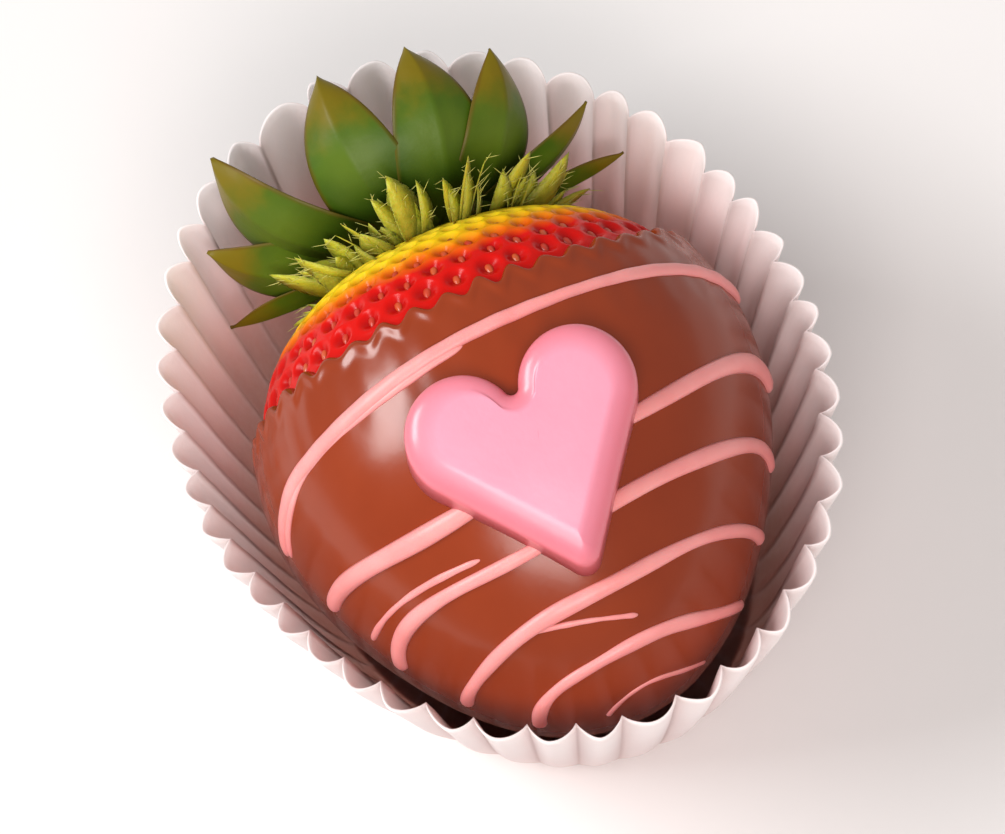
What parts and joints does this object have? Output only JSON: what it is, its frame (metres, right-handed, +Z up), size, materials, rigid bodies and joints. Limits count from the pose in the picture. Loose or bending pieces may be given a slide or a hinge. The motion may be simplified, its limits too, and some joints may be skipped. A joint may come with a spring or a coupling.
{
  "type": "chocolate coated strawberry",
  "caption": "Strawberry dipped in milk chocolate with pink drizzle and a pink candy heart, lying in a white pleated paper case.",
  "frame": {"origin": "centre of the paper case's flat base, where it meets the surface it stands on", "axes": "+Z up; +Y along the case's long way, towards the strawberry's leaves; the strawberry's tip points to -Y"},
  "size_m": [0.0558, 0.0678, 0.0431],
  "materials": {
    "case_paper": "white greaseproof paper, pressed into sharp pleats",
    "strawberry_flesh": "moist red fruit skin, paler towards the stem",
    "milk_chocolate": "smooth set milk chocolate with a soft sheen",
    "pink_candy": "moulded pink confectionery coating, satin",
    "bract_green": "young hairy yellow-green leaf",
    "leaf_green": "fresh dark green leaf with a faint bloom"
  },
  "bodies": {
    "root": {"paper_case": "case_paper", "strawberry_flesh": "strawberry_flesh", "chocolate_coat": "milk_chocolate", "candy_heart": "pink_candy", "bracts": "bract_green", "leaves": "leaf_green"}
  },
  "joints": []
}
